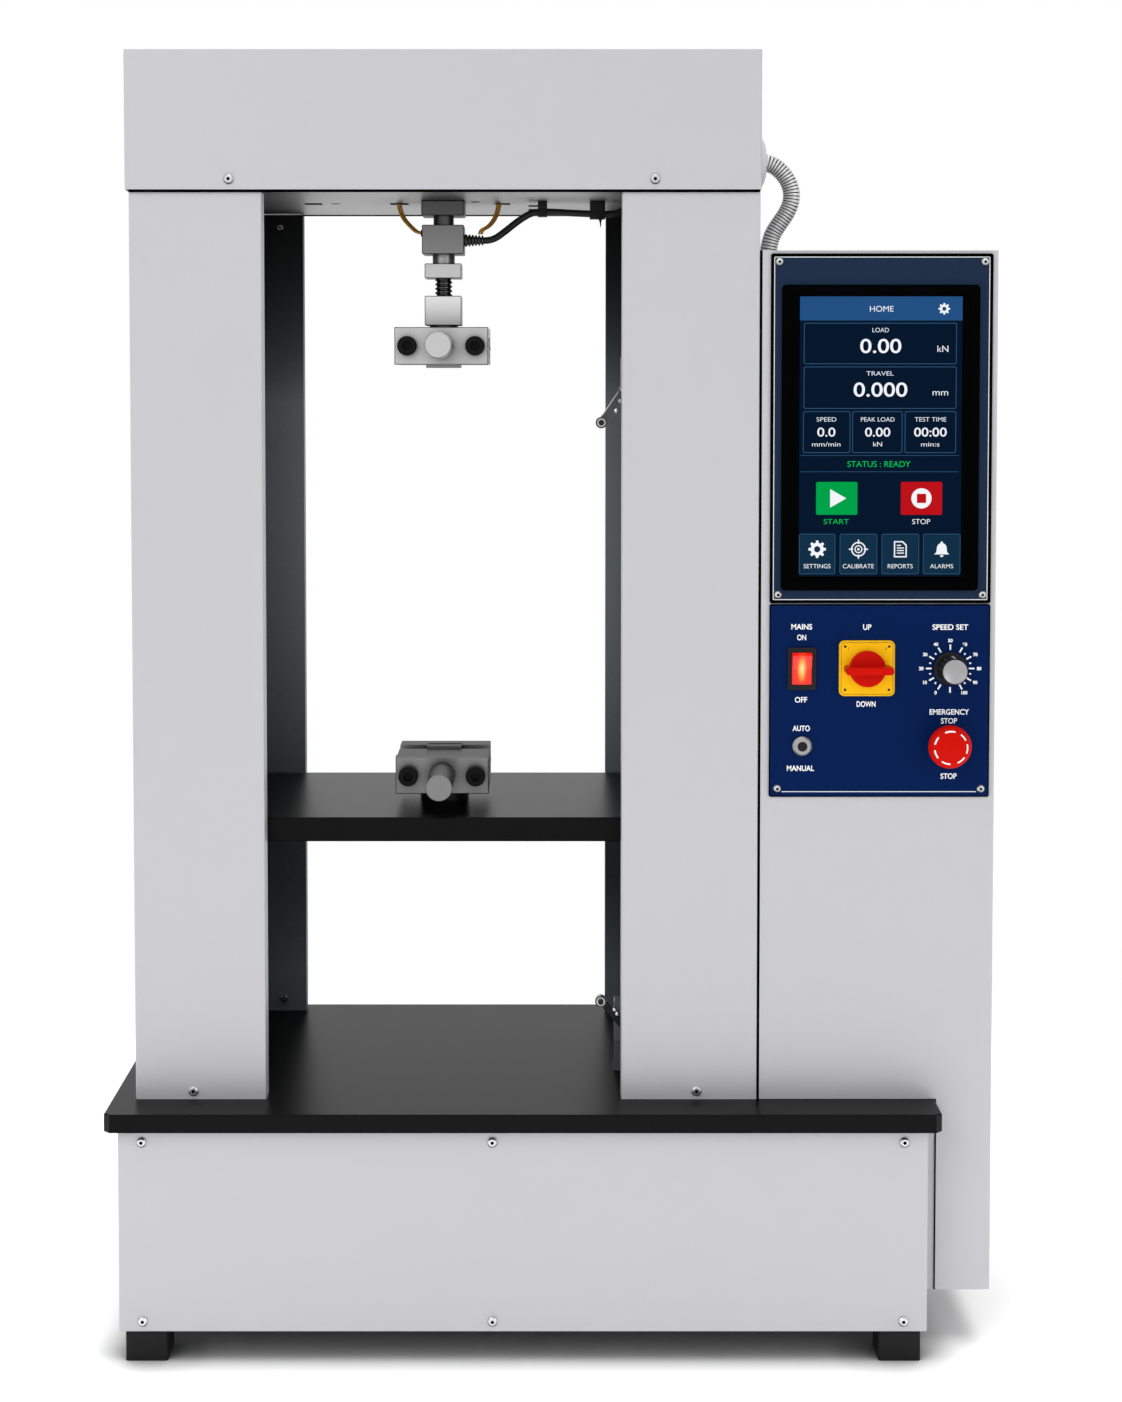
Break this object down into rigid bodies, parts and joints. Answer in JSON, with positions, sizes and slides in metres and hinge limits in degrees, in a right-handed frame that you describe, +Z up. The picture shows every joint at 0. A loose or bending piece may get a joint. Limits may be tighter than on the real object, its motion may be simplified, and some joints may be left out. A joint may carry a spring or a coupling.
{
  "type": "universal testing machine",
  "caption": "Bench tensile tester: twin-screw load frame with sliding crosshead, screw grips and a side control cabinet.",
  "frame": {"origin": "middle of the machine's outer box at the underside of its feet", "axes": "+Z up, -Y towards the operator's side, +X towards the control cabinet"},
  "size_m": [0.8288, 0.369, 1.2205],
  "materials": {
    "bed_plate": "satin",
    "grey_cover": "satin",
    "dark_panel": "satin",
    "black_panel": "satin",
    "blue_panel": "satin",
    "machined_steel": "satin",
    "bright_steel": "polished",
    "black_steel": "satin",
    "alloy": "satin",
    "bronze": "satin",
    "foot_rubber": "matte",
    "cable_sheath": "matte",
    "black_plastic": "matte",
    "red_plastic": "gloss",
    "yellow_plastic": "gloss",
    "screen_glass": "gloss",
    "orange_sheath": "matte",
    "grey_conduit": "satin"
  },
  "bodies": {
    "frame": {"base_plate": "bed_plate", "base_shell": "grey_cover", "base_front_cover": "grey_cover", "feet": "foot_rubber", "left_column_cover": "grey_cover", "right_column_cover": "grey_cover", "rear_panels": "dark_panel", "guide_rods": "bright_steel", "top_plate": "machined_steel", "head_cover": "grey_cover", "screw_bearings": "black_steel", "drive_motor": "black_steel", "timing_belts": "cable_sheath", "cabinet_shell": "grey_cover", "cabinet_front": "grey_cover", "display_panel": "black_panel", "touch_screen": "screen_glass", "control_panel": "blue_panel", "mains_switch_body": "black_plastic", "cam_switch_body": "yellow_plastic", "mode_switch_bush": "bright_steel", "switch_bodies": "black_plastic", "servo_drive": "alloy", "power_inlet": "black_plastic", "conduit": "grey_conduit", "load_cell_cable": "cable_sheath", "load_cell_wires": "orange_sheath", "cable_fittings": "black_plastic", "load_hanger": "machined_steel", "load_cell": "alloy", "coupling_nut": "machined_steel", "threaded_rod": "black_steel", "grip_adapter": "machined_steel", "upper_grip_body": "machined_steel", "upper_tie_bolts": "black_steel", "cover_screws": "bright_steel", "limit_switches": "black_plastic"},
    "crosshead": {"crosshead_plate": "bed_plate", "screw_nuts": "bronze", "guide_bushes": "alloy", "lower_grip_base": "black_steel", "lower_grip_body": "machined_steel", "lower_tie_bolts": "black_steel"},
    "upper_jaw": {"upper_jaw": "machined_steel"},
    "upper_clamp_screw": {"upper_clamp_screw": "machined_steel"},
    "lower_jaw": {"lower_jaw": "machined_steel"},
    "lower_clamp_screw": {"lower_clamp_screw": "machined_steel"},
    "left_lead_screw": {"left_lead_screw": "bright_steel"},
    "right_lead_screw": {"right_lead_screw": "bright_steel"},
    "motor_pulley": {"motor_pulley": "alloy"},
    "mains_rocker": {"mains_rocker": "red_plastic"},
    "cam_switch_handle": {"cam_switch_handle": "red_plastic"},
    "speed_knob": {"speed_knob": "black_plastic"},
    "estop_stem": {"estop_stem": "black_plastic"},
    "estop_head": {"estop_head": "red_plastic"},
    "mode_button": {"mode_button": "black_plastic"},
    "upper_limit_lever": {"upper_limit_lever": "black_steel"},
    "lower_limit_lever": {"lower_limit_lever": "black_steel"},
    "upper_limit_roller": {"upper_limit_roller": "bright_steel"},
    "lower_limit_roller": {"lower_limit_roller": "bright_steel"}
  },
  "joints": [
    {"name": "crosshead_slide", "type": "slide", "parent": "frame", "child": "crosshead", "axis": [0, 0, 1], "range_m": [-0.158, 0.355]},
    {"name": "left_screw_spin", "type": "hinge", "parent": "frame", "child": "left_lead_screw", "pos_m": [-0.3336, -0.0085, 0.2385], "axis": [0, 0, 1], "range_deg": [-12820, 5728]},
    {"name": "right_screw_spin", "type": "hinge", "parent": "frame", "child": "right_lead_screw", "pos_m": [0.1224, -0.0085, 0.2385], "axis": [0, 0, 1], "range_deg": [-12820, 5728]},
    {"name": "motor_spin", "type": "hinge", "parent": "frame", "child": "motor_pulley", "pos_m": [-0.0276, -0.0085, 0.15], "axis": [0, 0, 1], "range_deg": [-25660, 11476]},
    {"name": "upper_clamp_turn", "type": "hinge", "parent": "upper_jaw", "child": "upper_clamp_screw", "pos_m": [-0.1056, -0.0085, 0.9485], "axis": [0, 1, 0], "range_deg": [-10, 703]},
    {"name": "upper_jaw_slide", "type": "slide", "parent": "frame", "child": "upper_jaw", "axis": [0, 1, 0], "range_m": [0, 0.0077]},
    {"name": "lower_clamp_turn", "type": "hinge", "parent": "lower_jaw", "child": "lower_clamp_screw", "pos_m": [-0.1056, -0.0085, 0.5335], "axis": [0, 1, 0], "range_deg": [-10, 703]},
    {"name": "lower_jaw_slide", "type": "slide", "parent": "crosshead", "child": "lower_jaw", "axis": [0, 1, 0], "range_m": [0, 0.0077]},
    {"name": "mains_rocker_tilt", "type": "hinge", "parent": "frame", "child": "mains_rocker", "pos_m": [0.23365, -0.1405, 0.6467], "axis": [1, 0, 0], "range_deg": [-24, 0]},
    {"name": "cam_switch_turn", "type": "hinge", "parent": "frame", "child": "cam_switch_handle", "pos_m": [0.29425, -0.1405, 0.6472], "axis": [0, -1, 0], "range_deg": [-90, 90]},
    {"name": "speed_knob_turn", "type": "hinge", "parent": "frame", "child": "speed_knob", "pos_m": [0.37225, -0.1405, 0.6468], "axis": [0, -1, 0], "range_deg": [-140, 140]},
    {"name": "estop_press", "type": "slide", "parent": "frame", "child": "estop_stem", "axis": [0, 1, 0], "range_m": [0, 0.0045], "stiffness_N_per_m": 2500, "springref_m": -0.001},
    {"name": "estop_twist", "type": "hinge", "parent": "estop_stem", "child": "estop_head", "pos_m": [0.36905, -0.1405, 0.5764], "axis": [0, 1, 0], "range_deg": [0, 30], "stiffness_Nm_per_rad": 0.3, "springref_deg": -2.86},
    {"name": "mode_button_press", "type": "slide", "parent": "frame", "child": "mode_button", "axis": [0, 1, 0], "range_m": [0, 0.003], "stiffness_N_per_m": 800, "springref_m": -0.0005},
    {"name": "upper_lever_tilt", "type": "hinge", "parent": "frame", "child": "upper_limit_lever", "pos_m": [0.06936, -0.0695, 0.90639], "axis": [0, 1, 0], "range_deg": [0, 25], "stiffness_Nm_per_rad": 0.3, "springref_deg": -5.73},
    {"name": "lower_lever_tilt", "type": "hinge", "parent": "frame", "child": "lower_limit_lever", "pos_m": [0.07273, -0.0695, 0.28569], "axis": [0, -1, 0], "range_deg": [0, 25], "stiffness_Nm_per_rad": 0.3, "springref_deg": -5.73},
    {"name": "upper_roller_spin", "type": "hinge", "parent": "upper_limit_lever", "child": "upper_limit_roller", "pos_m": [0.04795, -0.0695, 0.875], "axis": [0, 1, 0], "continuous": true},
    {"name": "lower_roller_spin", "type": "hinge", "parent": "lower_limit_lever", "child": "lower_limit_roller", "pos_m": [0.04795, -0.0695, 0.3145], "axis": [0, 1, 0], "continuous": true}
  ],
  "couplings": [
    {"joint": "left_screw_spin", "follows": "crosshead_slide", "rad_per_m": -628.32},
    {"joint": "right_screw_spin", "follows": "crosshead_slide", "rad_per_m": -628.32},
    {"joint": "motor_spin", "follows": "crosshead_slide", "rad_per_m": -1256.6},
    {"joint": "upper_clamp_turn", "follows": "upper_jaw_slide", "rad_per_m": 1570.8},
    {"joint": "lower_clamp_turn", "follows": "lower_jaw_slide", "rad_per_m": 1570.8}
  ]
}
